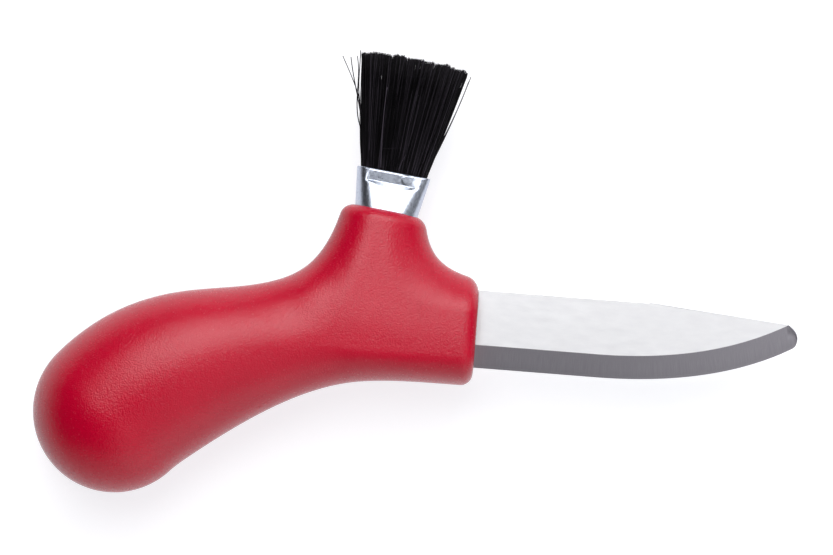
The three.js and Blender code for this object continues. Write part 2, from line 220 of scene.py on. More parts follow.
@dataclass(frozen=True)
class MouldedPlastic:
    """Red polypropylene from a spark-eroded mould: a satin sheen with a fine peel and small dull spots.

    The peel is drawn a little coarser and deeper than a mould leaves it, so that it shows.
    """

    colour: str = "#c5002c"
    shade: str = "#b80029"
    cloud: float = 14 * MM
    roughness: tuple[float, float] = (0.2, 0.28)
    ior: float = 1.45
    peel: float = 0.32 * MM
    depth: float = 0.1 * MM
    spot_spacing: float = 1.6 * MM
    spot_share: tuple[float, float] = (0.064, 0.16)
    spot_dullness: float = 0.35

    def build(self) -> bpy.types.Material:
        """Make the material.

        Returns:
            The material.
        """
        material = new_material("red_moulded_polypropylene")
        tree = material.node_tree
        place = add_node(tree, "ShaderNodeTexCoord").outputs["Object"]
        peel = add_node(
            tree, "ShaderNodeTexNoise", {"Scale": 1 / self.peel, "Detail": 2.0}, {"Vector": place}
        )
        cells = add_node(tree, "ShaderNodeTexVoronoi", {"Scale": 1 / self.spot_spacing}, {"Vector": place})
        spots = add_node(
            tree,
            "ShaderNodeMapRange",
            {
                "From Min": self.spot_share[0],
                "From Max": self.spot_share[1],
                "To Min": self.spot_dullness,
                "To Max": 0.0,
            },
            {"Value": cells.outputs["Distance"]},
            interpolation_type="SMOOTHSTEP",
        )
        cloud = add_node(
            tree, "ShaderNodeTexNoise", {"Scale": 1 / self.cloud, "Detail": 2.0}, {"Vector": place}
        )
        tint = add_node(
            tree,
            "ShaderNodeMix",
            {6: linear(self.shade), 7: linear(self.colour)},
            {0: cloud.outputs["Fac"]},
            data_type="RGBA",
        )
        sheen = add_node(
            tree, "ShaderNodeMapRange", noise_to(*self.roughness), {"Value": peel.outputs["Fac"]}
        )
        rough = add_node(
            tree,
            "ShaderNodeMath",
            links={0: sheen.outputs["Result"], 1: spots.outputs["Result"]},
            operation="ADD",
        )
        bump = add_node(
            tree,
            "ShaderNodeBump",
            {"Strength": 1.0, "Distance": self.depth},
            {"Height": peel.outputs["Fac"]},
        )
        shader = add_node(
            tree,
            "ShaderNodeBsdfPrincipled",
            {"IOR": self.ior},
            {
                "Base Color": tint.outputs[2],
                "Roughness": rough.outputs[0],
                "Normal": bump.outputs["Normal"],
            },
        )
        add_node(tree, "ShaderNodeOutputMaterial", links={"Surface": shader.outputs["BSDF"]})
        return material


@dataclass(frozen=True)
class SteelFinish:
    """Stainless sheet with a grain drawn one way: streaks that spread the light square to themselves."""

    name: str
    light: str
    dark: str
    roughness: tuple[float, float]
    spread: float
    across: float
    along: float
    depth: float

    def build(self) -> bpy.types.Material:
        """Make the material. The grain follows the piece's own flat map, in metres.

        Returns:
            The material.
        """
        material = new_material(self.name)
        tree = material.node_tree
        place = add_node(tree, "ShaderNodeTexCoord").outputs["UV"]
        stretch = add_node(
            tree, "ShaderNodeMapping", {"Scale": (1 / self.across, 1 / self.along, 1.0)}, {"Vector": place}
        )
        grain = add_node(
            tree,
            "ShaderNodeTexNoise",
            {"Scale": 1.0, "Detail": 4.0, "Roughness": 0.65},
            {"Vector": stretch.outputs["Vector"]},
        )
        tint = add_node(
            tree,
            "ShaderNodeMix",
            {6: linear(self.dark), 7: linear(self.light)},
            {0: grain.outputs["Fac"]},
            data_type="RGBA",
        )
        sheen = add_node(
            tree, "ShaderNodeMapRange", noise_to(*self.roughness), {"Value": grain.outputs["Fac"]}
        )
        bump = add_node(
            tree,
            "ShaderNodeBump",
            {"Strength": 1.0, "Distance": self.depth},
            {"Height": grain.outputs["Fac"]},
        )
        tangent = add_node(tree, "ShaderNodeTangent", direction_type="UV_MAP", uv_map="grain")
        shader = add_node(
            tree,
            "ShaderNodeBsdfPrincipled",
            {"Metallic": 1.0, "Anisotropic": self.spread},
            {
                "Base Color": tint.outputs[2],
                "Roughness": sheen.outputs["Result"],
                "Normal": bump.outputs["Normal"],
                "Tangent": tangent.outputs["Tangent"],
            },
        )
        add_node(tree, "ShaderNodeOutputMaterial", links={"Surface": shader.outputs["BSDF"]})
        return material


@dataclass(frozen=True)
class Tinplate:
    """Bright drawn tinplate: bluish near-mirror reflections broken by a fine mottle."""

    light: str = "#d9dfeb"
    dark: str = "#949cae"
    roughness: tuple[float, float] = (0.27, 0.4)
    mottle: float = 0.45 * MM
    depth: float = 0.012 * MM

    def build(self) -> bpy.types.Material:
        """Make the material.

        Returns:
            The material.
        """
        material = new_material("bright_drawn_tinplate")
        tree = material.node_tree
        place = add_node(tree, "ShaderNodeTexCoord").outputs["Object"]
        mottle = add_node(
            tree,
            "ShaderNodeTexNoise",
            {"Scale": 1 / self.mottle, "Detail": 3.0, "Roughness": 0.6},
            {"Vector": place},
        )
        tint = add_node(
            tree,
            "ShaderNodeMix",
            {6: linear(self.dark), 7: linear(self.light)},
            {0: mottle.outputs["Fac"]},
            data_type="RGBA",
        )
        sheen = add_node(
            tree, "ShaderNodeMapRange", noise_to(*self.roughness), {"Value": mottle.outputs["Fac"]}
        )
        bump = add_node(
            tree,
            "ShaderNodeBump",
            {"Strength": 1.0, "Distance": self.depth},
            {"Height": mottle.outputs["Fac"]},
        )
        shader = add_node(
            tree,
            "ShaderNodeBsdfPrincipled",
            {"Metallic": 1.0},
            {
                "Base Color": tint.outputs[2],
                "Roughness": sheen.outputs["Result"],
                "Normal": bump.outputs["Normal"],
            },
        )
        add_node(tree, "ShaderNodeOutputMaterial", links={"Surface": shader.outputs["BSDF"]})
        return material


@dataclass(frozen=True)
class BlackBristle:
    """Dyed black hair: each hair a slightly different near-black, with a dull gleam along it."""

    dark: str = "#040305"
    light: str = "#413c45"
    roughness: float = 0.5
    specular: float = 0.1

    def build(self) -> bpy.types.Material:
        """Make the material. A hair's shade is stored with its mesh.

        Returns:
            The material.
        """
        material = new_material("black_dyed_bristle")
        tree = material.node_tree
        shade = add_node(tree, "ShaderNodeAttribute", attribute_name="shade")
        tint = add_node(
            tree,
            "ShaderNodeMix",
            {6: linear(self.dark), 7: linear(self.light)},
            {0: shade.outputs["Fac"]},
            data_type="RGBA",
        )
        shader = add_node(
            tree,
            "ShaderNodeBsdfPrincipled",
            {"Roughness": self.roughness, "Specular IOR Level": self.specular},
            {"Base Color": tint.outputs[2]},
        )
        add_node(tree, "ShaderNodeOutputMaterial", links={"Surface": shader.outputs["BSDF"]})
        return material


@dataclass(frozen=True)
class SetResin:
    """Hard amber setting resin, cloudy and slightly uneven in colour."""

    light: str = "#b18d52"
    dark: str = "#8f6f3c"
    roughness: float = 0.35
    cloud: float = 2.5 * MM

    def build(self) -> bpy.types.Material:
        """Make the material.

        Returns:
            The material.
        """
        material = new_material("amber_setting_resin")
        tree = material.node_tree
        place = add_node(tree, "ShaderNodeTexCoord").outputs["Object"]
        cloud = add_node(tree, "ShaderNodeTexNoise", {"Scale": 1 / self.cloud}, {"Vector": place})
        tint = add_node(
            tree,
            "ShaderNodeMix",
            {6: linear(self.dark), 7: linear(self.light)},
            {0: cloud.outputs["Fac"]},
            data_type="RGBA",
        )
        shader = add_node(
            tree, "ShaderNodeBsdfPrincipled", {"Roughness": self.roughness}, {"Base Color": tint.outputs[2]}
        )
        add_node(tree, "ShaderNodeOutputMaterial", links={"Surface": shader.outputs["BSDF"]})
        return material


@dataclass(frozen=True)
class Datum:
    """Where the blade's middle line leaves the front of the handle, read from the CAD part."""

    origin: Vector

    @classmethod
    def from_frame(cls) -> "Datum":
        """Read the datum from the handle's front and the blade's back.

        Returns:
            The datum.
        """
        low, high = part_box("blade")
        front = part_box("handle")[1].x
        return cls(Vector((front, high.y - Blade.height / 2, (low.z + high.z) / 2)))

    def place(self, points: np.ndarray) -> np.ndarray:
        """Move points from the datum's own place to the part's frame.

        Args:
            points: rows of x, y, z.

        Returns:
            The moved rows.
        """
        return np.asarray(points) + np.array(self.origin)


@dataclass
class BrushAxes:
    """Directions of the brush: across its width, up its bristles and out of its face."""

    behind_front: float = 24.15 * MM
    neck_height: float = 23.6 * MM
    ahead: float = 0.8 * MM
    lean: float = math.radians(6.3)

    def place(self, points: np.ndarray) -> np.ndarray:
        """Turn places in the brush's directions into points from the datum.

        Args:
            points: rows of across (towards the blade), up (above the rim of the neck) and out.

        Returns:
            Rows of x, y, z.
        """
        across, up, out = np.moveaxis(np.asarray(points, float), -1, 0)
        sin, cos = math.sin(self.lean), math.cos(self.lean)
        right = across + self.ahead
        height = up + self.neck_height
        x = right * cos + height * sin - self.behind_front
        y = height * cos - right * sin
        return np.stack([x, y, out], -1)

    def measure(self, points: np.ndarray) -> tuple[np.ndarray, np.ndarray]:
        """Find where points from the datum lie in the neck's directions.

        Args:
            points: rows of x, y, z.

        Returns:
            Across the neck from its own middle, and above its rim.
        """
        sin, cos = math.sin(self.lean), math.cos(self.lean)
        x, y = points[:, 0] + self.behind_front, points[:, 1]
        return x * cos - y * sin, x * sin + y * cos - self.neck_height


@dataclass(frozen=True)
class PlanChart:
    """Numbers on a square grid in plan, read smoothly between its corners."""

    low: np.ndarray
    cell: float
    layers: np.ndarray

    def read(self, points: np.ndarray) -> np.ndarray:
        """Read every layer of the chart.

        Args:
            points: rows of x, y and anything more.

        Returns:
            One row for each layer.
        """
        spot = (points[:, :2] - self.low) / self.cell
        corner = np.clip(np.floor(spot).astype(int), 0, np.array(self.layers.shape[1:]) - 2)
        u, v = (spot - corner).T
        i, j = corner.T
        near = self.layers[:, i, j] * (1 - u) + self.layers[:, i + 1, j] * u
        far = self.layers[:, i, j + 1] * (1 - u) + self.layers[:, i + 1, j + 1] * u
        return near * (1 - v) + far * v


@dataclass
class Handle:
    """The moulded grip with its brush neck: one smooth form, skinned finely.

    A piece's size is its width in plan and its thickness. Places along the grip are measured back from its
    front, and the slimmest one is the waist.
    """

    axes: BrushAxes
    grip_length: float = 74.7 * MM
    butt_drop: float = 23.33 * MM
    butt_slope: float = math.radians(50.1)
    butt_size: tuple[float, float] = (34.4 * MM, 29 * MM)
    front_size: tuple[float, float] = (21.3 * MM, 20 * MM)
    front_drop: float = 1.5 * MM
    straight_front: float = 6.5 * MM
    straight_butt: float = 25.6 * MM
    waist_width: float = 19.15 * MM
    waist: float = 24.6 * MM
    full: float = 69.95 * MM
    front_edge: float = 2.5 * MM
    side_round: float = 6.4 * MM
    oval: tuple[float, float] = (9.84 * MM, 40 * MM)
    neck_size: tuple[float, float] = (15.8 * MM, 13.06 * MM)
    neck_slope: float = math.radians(8.2)
    neck_foot: tuple[float, float] = (4.67 * MM, 7.69 * MM)
    neck_back: tuple[float, float] = (5 * MM, 40 * MM)
    neck_blend: float = 33.4 * MM
    face_blend: float = 0.8 * MM
    neck_edge: float = 2.3 * MM
    pitch: float = 0.6 * MM
    spine_steps: int = 49
    chart_cell: float = 0.3 * MM
    ease: float = 2.5 * MM
    eased: tuple[float, float] = (3 * MM, 9 * MM)
    spine: np.ndarray = field(init=False)
    chart: PlanChart = field(init=False)

    def __post_init__(self) -> None:
        """Draw and chart the middle line of the grip, from ahead of its front to the middle of the butt."""
        front = np.array([0, -self.front_drop])
        butt = np.array([-self.grip_length, -self.butt_drop])
        pull = np.array([math.cos(self.butt_slope), math.sin(self.butt_slope)])
        controls = [front, front - [self.straight_front, 0], butt + self.straight_butt * pull, butt]
        curve = bezier(controls, self.spine_steps)
        self.spine = np.vstack([front + [self.front_size[0], 0], curve])
        self.chart = self.draw_chart()

    @staticmethod
    def outside_ellipse(u: np.ndarray, v: np.ndarray, a: np.ndarray, b: np.ndarray) -> np.ndarray:
        """Distance outside an ellipse, near enough for blending.

        Args:
            u: distance along the first half-axis.
            v: distance along the second half-axis.
            a: first half-axis.
            b: second half-axis.

        Returns:
            Distances, below zero inside.
        """
        reach = np.hypot(u / a, v / b)
        steepness = np.maximum(np.hypot(u / a**2, v / b**2), 1e-9)
        return reach * (reach - 1) / steepness

    @staticmethod
    def smooth_least(a: np.ndarray, b: np.ndarray, reach: float) -> np.ndarray:
        """Take the smaller of two numbers, with a smooth change from one to the other.

        Args:
            a: first numbers.
            b: second numbers.
            reach: difference below which the change begins.

        Returns:
            The smaller numbers.
        """
        return np.minimum(a, b) - np.maximum(reach - np.abs(a - b), 0) ** 3 / (6 * reach**2)

    def beside_spine(self, points: np.ndarray) -> tuple[np.ndarray, np.ndarray]:
        """Find the nearest place on the middle line of the grip.

        Args:
            points: rows of x, y from the datum.

        Returns:
            Distance from that place, and how far behind the front it lies.
        """
        nearest = np.full(len(points), np.inf)
        behind = np.zeros(len(points))
        for start, end in zip(self.spine[:-1], self.spine[1:]):
            along = end - start
            share = np.clip((points - start) @ along / (along @ along), 0, 1)
            foot = start + share[:, None] * along
            distance = np.hypot(points[:, 0] - foot[:, 0], points[:, 1] - foot[:, 1])
            behind = np.where(distance < nearest, -foot[:, 0], behind)
            nearest = np.minimum(distance, nearest)
        return nearest, behind

    def draw_chart(self) -> PlanChart:
        """Chart distances from the middle line, eased where they fold on the inside of its bend.

        Returns:
            Two layers: distance from the middle line, and how far behind the front.
        """
        cell = self.chart_cell
        margin = self.butt_size[0]
        low, high = self.spine.min(0) - margin, self.spine.max(0) + margin
        x, y = (np.arange(a, b, cell) for a, b in zip(low, high))
        places = np.stack(np.meshgrid(x, y, indexing="ij"), -1)
        layers = self.beside_spine(places.reshape(-1, 2))
        sharp = np.array(layers).reshape(len(layers), *places.shape[:2])
        tail = 3 * self.ease
        reach = np.arange(-tail, tail + cell / 2, cell)
        weights = np.exp(-((reach / self.ease) ** 2) / 2)
        soft = sharp
        for axis in (1, 2):
            soft = np.apply_along_axis(np.convolve, axis, soft, weights / weights.sum(), "same")
        soft[0] = np.minimum(soft[0], sharp[0])
        return PlanChart(low, cell, sharp + (soft - sharp) * smoothstep(sharp[0], *self.eased))

    def outside(self, points: np.ndarray) -> np.ndarray:
        """Distance outside the whole handle: a plan with a thickness and rounded edges.

        Args:
            points: rows of x, y, z from the datum.

        Returns:
            Distances, below zero inside.
        """
        nearest, behind = self.chart.read(points)
        swell = smoothstep(behind, self.waist, self.full)
        front = self.front_size[0]
        slim = front + (self.waist_width - front) * smoothstep(behind, 0, self.waist)
        half = (slim + (self.butt_size[0] - slim) * swell) / 2
        depth = (self.front_size[1] + (self.butt_size[1] - self.front_size[1]) * swell) / 2
        across, above = self.axes.measure(points)
        past_foot = np.maximum(self.neck_foot[0] - self.axes.neck_height - above, 0)
        past_back = np.maximum(-self.neck_back[0] - across, 0)
        neck = np.abs(across) - self.neck_size[0] / 2 + past_foot**2 / self.neck_foot[1]
        neck_depth = self.neck_size[1] / 2 - above * math.tan(self.neck_slope)
        plan = self.smooth_least(nearest - half, neck, self.neck_blend)
        depth = self.smooth_least(depth, neck_depth + past_back**2 / self.neck_back[1], self.face_blend)
        ovalness = smoothstep(behind, *self.oval)
        rounding = self.side_round + (half - self.side_round) * ovalness
        form = self.outside_ellipse(np.maximum(rounding + plan, 0), points[:, 2], rounding, depth)
        for plane, edge in ((points[:, 0], self.front_edge), (above, self.neck_edge)):
            corner = np.hypot(np.maximum(form + edge, 0), np.maximum(plane + edge, 0))
            form = np.minimum(-edge, np.maximum(form, plane)) + corner
        return form

    def build(self, datum: Datum, material: bpy.types.Material) -> bpy.types.Object:
        """Skin the form and put it in place of the CAD handle.

        Args:
            datum: where sizes start.
            material: finish of the handle.

        Returns:
            The handle.
        """
        low, high = (np.array(corner - datum.origin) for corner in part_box("handle"))
        pitch = self.pitch * 1
        margin = 3 * pitch
        points, faces = skin_over(self.outside, low - margin, high + margin, pitch)
        handle = new_object("handle_moulding", datum.place(points), faces, [material])
        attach(handle, Body.KNIFE.value)
        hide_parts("handle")
        return handle


def skin_over(
    form: Callable[[np.ndarray], np.ndarray],
    low: np.ndarray,
    high: np.ndarray,
    pitch: float,
    rounds: int = 4,
) -> tuple[np.ndarray, np.ndarray]:
    """Skin a form with one point in each grid cell that its surface crosses.

    Args:
        form: distance outside the form for rows of x, y, z.
        low: lowest corner of the grid.
        high: highest corner of the grid.
        pitch: size of a cell.
        rounds: how often the points are drawn closer to the surface.

    Returns:
        The points, settled on the surface, and the four-sided faces.
    """
    ticks = [np.arange(a, b + pitch, pitch) for a, b in zip(low, high)]
    grid = np.stack(np.meshgrid(*ticks, indexing="ij"), -1)
    shape = grid.shape[:3]
    outside = form(grid.reshape(-1, 3)).reshape(shape)
    total = np.zeros((np.prod(shape), 3))
    count = np.zeros(np.prod(shape))
    steps = np.array([shape[1] * shape[2], shape[2], 1])
    corners, flips = [], []
    for axis in range(3):
        here = tuple(slice(1, n - 1) for n in shape)
        there = tuple(slice(2, n) if a == axis else slice(1, n - 1) for a, n in enumerate(shape))
        a, b = outside[here], outside[there]
        crossed = (a < 0) != (b < 0)
        start = np.ravel_multi_index(np.argwhere(crossed).T + 1, shape)
        share = (a[crossed] / (a[crossed] - b[crossed]))[:, None]
        place = grid[here][crossed] * (1 - share) + grid[there][crossed] * share
        u, v = steps[(axis + 1) % 3], steps[(axis + 2) % 3]
        around = np.stack([start - u - v, start - v, start, start - u], 1)
        for cell in around.T:
            np.add.at(total, cell, place)
            np.add.at(count, cell, 1)
        corners.append(around)
        flips.append(a[crossed] >= 0)
    cells = np.concatenate(corners)
    turned = np.concatenate(flips)
    cells[turned] = cells[turned][:, ::-1]
    used = np.flatnonzero(count)
    number = np.zeros(len(count), int)
    number[used] = np.arange(len(used))
    points = total[used] / count[used, None]
    step = pitch * 0.01
    for _ in range(rounds):
        here = form(points)
        slope = np.stack([(form(points + step * np.eye(3)[i]) - here) / step for i in range(3)], 1)
        points = points - slope * (here / np.maximum((slope**2).sum(1), 1e-9))[:, None]
    return points, number[cells]


@dataclass
class Blade:
    """The ground blade with its tang: flats, bevels that steepen to a honed edge, and a rounded back."""

    height: float = 16.6 * MM
    thickness: float = 2 * MM
    bevel: float = 4.9 * MM
    straight_back: float = 36 * MM
    straight_edge: float = 26 * MM
    rise: float = math.radians(30)
    edge_end: tuple[float, float] = (66.75 * MM, 0.86 * MM)
    nose_corner: tuple[float, float] = (67.4 * MM, 1.23 * MM)
    nose_foot: tuple[float, float] = (67.6 * MM, 1.75 * MM)
    nose_pull_low: tuple[float, float] = (68.2 * MM, 3.3 * MM)
    nose_pull_high: tuple[float, float] = (67.75 * MM, 4.8 * MM)
    nose_top: tuple[float, float] = (65.68 * MM, 5.89 * MM)
    shoulder: float = 3 * MM
    tang_end: tuple[float, float, float] = (-40 * MM, -4.9 * MM, 0.1 * MM)
    tang_root: tuple[float, float] = (-2.9 * MM, 6.1 * MM)
    # For each ring, how far across the bevel it lies and its share of half the thickness
    grind: tuple[tuple[float, float], ...] = ((0, 1), (0.6, 0.508), (0.9, 0.209), (1, 0.06))
    # For each ring, how far in from the back it lies and its share of half the thickness
    rounding: tuple[tuple[float, float], ...] = ((1, 1), (0.3, 0.96), (0, 0.88), (0, 0.06))
    round_width: float = 0.12 * MM
    steps: int = 48
    corner_steps: int = 12
    weld_digits: int = 9
    crease: float = math.radians(7)

    def rising(self, level: float, end: tuple[float, float]) -> np.ndarray:
        """Draw the edge or the bevel line: straight from the heel, then rising to its end.

        Args:
            level: height of the straight part.
            end: where the line ends.

        Returns:
            Rows of x, y.
        """
        bend = end[0] - (end[1] - level) / math.tan(self.rise)
        curve = bezier([(self.straight_edge, level), (bend, level), end], self.steps)
        return np.vstack([[(-self.shoulder, level)], curve])

    def outlines(self) -> tuple[np.ndarray, np.ndarray, int]:
        """Draw the outline of the flat and the full outline, point for point, counter-clockwise.

        Returns:
            Rows of x, y for the flat and for the full outline, and how many points lie on the bevel.
        """
        top = self.height / 2
        edge = self.rising(-top, self.edge_end)
        corner = bezier([self.edge_end, self.nose_corner, self.nose_foot], self.corner_steps)[1:]
        pulls = self.nose_pull_low, self.nose_pull_high
        nose = bezier([self.nose_foot, *pulls, self.nose_top], self.steps)[1:]
        full = np.vstack([edge, corner, nose])
        line = self.rising(self.bevel - top, self.nose_top)
        flat = np.vstack([line, np.tile(self.nose_top, (len(full) - len(line), 1))])
        tang_x, tang_low, tang_high = self.tang_end
        back = [
            (self.straight_back, top),
            (-self.shoulder, top),
            (-self.shoulder, self.tang_root[1]),
            (tang_x, tang_high),
            (tang_x, tang_low),
            (-self.shoulder, self.tang_root[0]),
        ]
        inset = self.round_width * np.array([(0, -1), (0, -1), (0, -1), (1, -1), (1, 1), (0, 1)])
        return np.vstack([flat, back + inset]), np.vstack([full, back]), len(full)

    def rings(self, flat: np.ndarray, full: np.ndarray, ground: int) -> np.ndarray:
        """Stack the rings of the upper half, from the flat down to the middle.

        Args:
            flat: outline of the flat.
            full: full outline.
            ground: how many points lie on the bevel.

        Returns:
            For each ring, rows of x, y, z.
        """
        half = self.thickness / 2
        rings = []
        for (share, height), (inset, back_height) in zip(self.grind, self.rounding):
            outline = full + (flat - full) * inset
            outline[:ground] = flat[:ground] + (full - flat)[:ground] * share
            level = np.full(len(full), back_height * half)
            level[:ground] = height * half
            rings.append(np.column_stack([outline, level]))
        return np.array(rings)

    def build(self, datum: Datum, finishes: Sequence[bpy.types.Material]) -> bpy.types.Object:
        """Build the blade in place of the CAD one.

        Args:
            datum: where sizes start.
            finishes: of the flats, the bevels and the honed edge.

        Returns:
            The blade.
        """
        flat, full, ground = self.outlines()
        upper = self.rings(flat, full, ground)
        rings = np.concatenate([upper, upper[::-1] * [1, 1, -1]])
        count = len(full)
        walls = band_faces(len(rings), count)
        caps = [list(range(count)), list(range((len(rings) - 1) * count, len(rings) * count))[::-1]]
        rounded = rings.reshape(-1, 3).round(self.weld_digits)
        points, welded = np.unique(rounded, axis=0, return_inverse=True)
        faces, sources = [], []
        for face in [*caps, *walls[:, ::-1].tolist()]:
            kept = [n for i, n in enumerate(face) if welded.flat[n] != welded.flat[face[i - 1]]]
            if len(kept) > 2:
                faces.append([int(welded.flat[n]) for n in kept])
                sources.append(kept)
        blade = new_object("blade_ground", datum.place(points), faces, finishes)
        self.lay_grain(blade, sources, rings, ground)
        blade.data.set_sharp_from_angle(angle=self.crease)
        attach(blade, Body.KNIFE.value)
        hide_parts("blade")
        return blade

    def lay_grain(
        self, blade: bpy.types.Object, sources: list[list[int]], rings: np.ndarray, ground: int
    ) -> None:
        """Choose each face's finish and lay its grain: along the flats, square to the edge on the bevels.

        Args:
            blade: the blade's object.
            sources: for each face, its corners' numbers among the points of all the rings.
            rings: for each ring, rows of x, y, z.
            ground: how many points lie on the bevel.
        """
        layers, count = rings.shape[:2]
        middle = layers // 2
        edge = rings[middle, :, :2]
        run = np.concatenate([[0], np.cumsum(np.hypot(*np.diff(edge, axis=0).T))])
        chart = blade.data.uv_layers.new(name="grain")
        for face, corners in zip(blade.data.polygons, sources):
            spots = [n % count for n in corners]
            depths = [n // count for n in corners]
            on_bevel = len(set(depths)) > 1 and max(spots) < ground
            honed = on_bevel and middle - 2 <= min(depths) <= max(depths) <= middle + 1
            face.material_index = int(on_bevel) + int(honed)
            for loop, spot, depth in zip(face.loop_indices, spots, depths):
                place = rings[depth, spot, :2]
                from_edge = math.dist(place, edge[spot])
                chart.data[loop].uv = (run[spot], from_edge) if on_bevel else place[::-1]


@dataclass
class Ferrule:
    """The tube that holds the bristles: round in the neck, flattened and crimped at its mouth."""

    axes: BrushAxes
    tube: float = 11.6 * MM
    mouth: tuple[float, float] = (15.7 * MM, 4.5 * MM)
    wall: float = 0.4 * MM
    exposed: float = 8.2 * MM
    seated: float = 11 * MM
    round_below: float = 6.9 * MM
    band: float = 2.5 * MM
    crimp: float = 0.5 * MM
    flare: float = 0.12 * MM
    fold: float = 1.5 * MM
    fold_middle: float = 0.5 * MM
    fold_half: float = 5.7 * MM
    fold_least: float = 0.3
    seam_depth: float = 0.05 * MM
    seam_width: float = 0.14 * MM
    crimp_starts: tuple[float, float] = (-5.7 * MM, -4.8 * MM)
    crimp_stops: tuple[float, float] = (3.6 * MM, 6.2 * MM)
    pip: tuple[float, float, float] = (2.9 * MM, 7.0 * MM, 1.15 * MM)
    pip_height: float = 0.1 * MM
    pip_flat: float = 0.6
    lip: float = 0.42 * MM
    lip_slope: float = 0.3
    face_start: float = 0.86
    skew: float = 0.5 * MM
    end_points: int = 28
    face_points: int = 64
    lowest_fine: float = -0.6 * MM
    fine_step: float = 0.08 * MM
    hidden_ring: float = 3 * MM
    rim_steps: int = 9
    inner_stride: int = 4

    def ring(self, up: float, inset: float) -> np.ndarray:
        """Draw one ring of the tube.

        Args:
            up: height above the rim of the neck.
            inset: how far inside the outside surface.

        Returns:
            Rows of across, up and out.
        """
        share = np.clip((up + self.round_below) / (self.exposed + self.round_below), 0, 1)
        width, thickness = (self.tube + (size - self.tube) * share for size in self.mouth)
        radius = thickness / 2 - inset
        flat = (width - thickness) / 2
        turn = np.linspace(-math.pi / 2, math.pi / 2, self.end_points)
        end = np.column_stack([flat + radius * np.cos(turn), radius * np.sin(turn)])
        across = np.linspace(flat, -flat, self.face_points + 2)[1:-1]
        half = np.vstack([end, np.column_stack([across, np.full(len(across), radius)])])
        both = np.vstack([half, -half])
        across = both[:, 0] + self.skew * both[:, 1] / radius
        return np.column_stack([across, np.full(len(both), up), both[:, 1]])

    def pressed(self, across: np.ndarray, up: np.ndarray) -> np.ndarray:
        """Depth that the crimping tool leaves in the face of the tube.

        Args:
            across: places across the face.
            up: heights above the rim of the neck.

        Returns:
            The depths.
        """
        crease = self.exposed - self.band
        held = smoothstep(across, *self.crimp_starts) * (1 - smoothstep(across, *self.crimp_stops))
        arch = 1 - ((across - self.fold_middle) / self.fold_half) ** 2
        fold = self.fold * np.clip(arch, self.fold_least, 1)
        below = self.crimp * np.clip((up - crease) / fold + 1, 0, 1)
        shares = np.clip((up - crease) / (self.band - self.lip), 0, 1)
        turned_in = self.lip_slope * np.maximum(up - self.exposed + self.lip, 0)
        seam = self.seam_depth * np.exp(-(((up - crease + fold) / self.seam_width) ** 2))
        x, y, radius = self.pip
        from_pip = np.hypot(across - x, up - y)
        raised = self.pip_height * (1 - smoothstep(from_pip, self.pip_flat * radius, radius))
        return (below - (self.crimp + self.flare) * shares + seam) * held + turned_in - raised

    def press(self, ring: np.ndarray) -> np.ndarray:
        """Press the marks of the crimping tool into a ring, before and behind.

        Args:
            ring: rows of across, up and out.

        Returns:
            The pressed ring.
        """
        across, up, out = ring.T
        face = np.sign(out) * smoothstep(np.abs(out) / np.abs(out).max(), self.face_start, 1)
        return np.column_stack([across, up, out - face * self.pressed(across, up)])

    def build(self, datum: Datum, material: bpy.types.Material) -> bpy.types.Object:
        """Build the tube in place of the CAD one.

        Args:
            datum: where sizes start.
            material: finish of the tube.

        Returns:
            The ferrule.
        """
        rim = self.wall / 2
        mouth = self.exposed - rim
        fine = np.arange(self.lowest_fine, mouth, self.fine_step)
        hidden = -self.seated, -self.round_below, -self.hidden_ring
        rings = [self.press(self.ring(up, 0)) for up in (*hidden, *fine)]
        for turn in np.linspace(0, math.pi, self.rim_steps):
            inset = rim - rim * math.cos(turn)
            rings.append(self.press(self.ring(mouth + rim * math.sin(turn), inset)))
        inner = *fine[:: -self.inner_stride], -self.seated
        rings += [self.press(self.ring(up, self.wall)) for up in inner]
        count = len(rings[0])
        faces = band_faces(len(rings) + 1, count) % (len(rings) * count)
        points = datum.place(self.axes.place(np.vstack(rings)))
        ferrule = new_object("ferrule_crimped", points, faces[:, ::-1], [material])
        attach(ferrule, Body.KNIFE.value)
        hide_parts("ferrule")
        return ferrule


@dataclass(frozen=True)
class LooseHair:
    """A hair that stands away from the tuft: a curve of across, up and out, all in millimetres."""

    leaves: tuple[float, float, float]
    pull_low: tuple[float, float, float]
    pull_high: tuple[float, float, float]
    end: tuple[float, float, float]
    radius: float
    shade: float

    def path(self, steps: int) -> np.ndarray:
        """Draw the hair's curve in metres, with so many points."""
        return bezier(np.array([self.leaves, self.pull_low, self.pull_high, self.end]) * MM, steps)


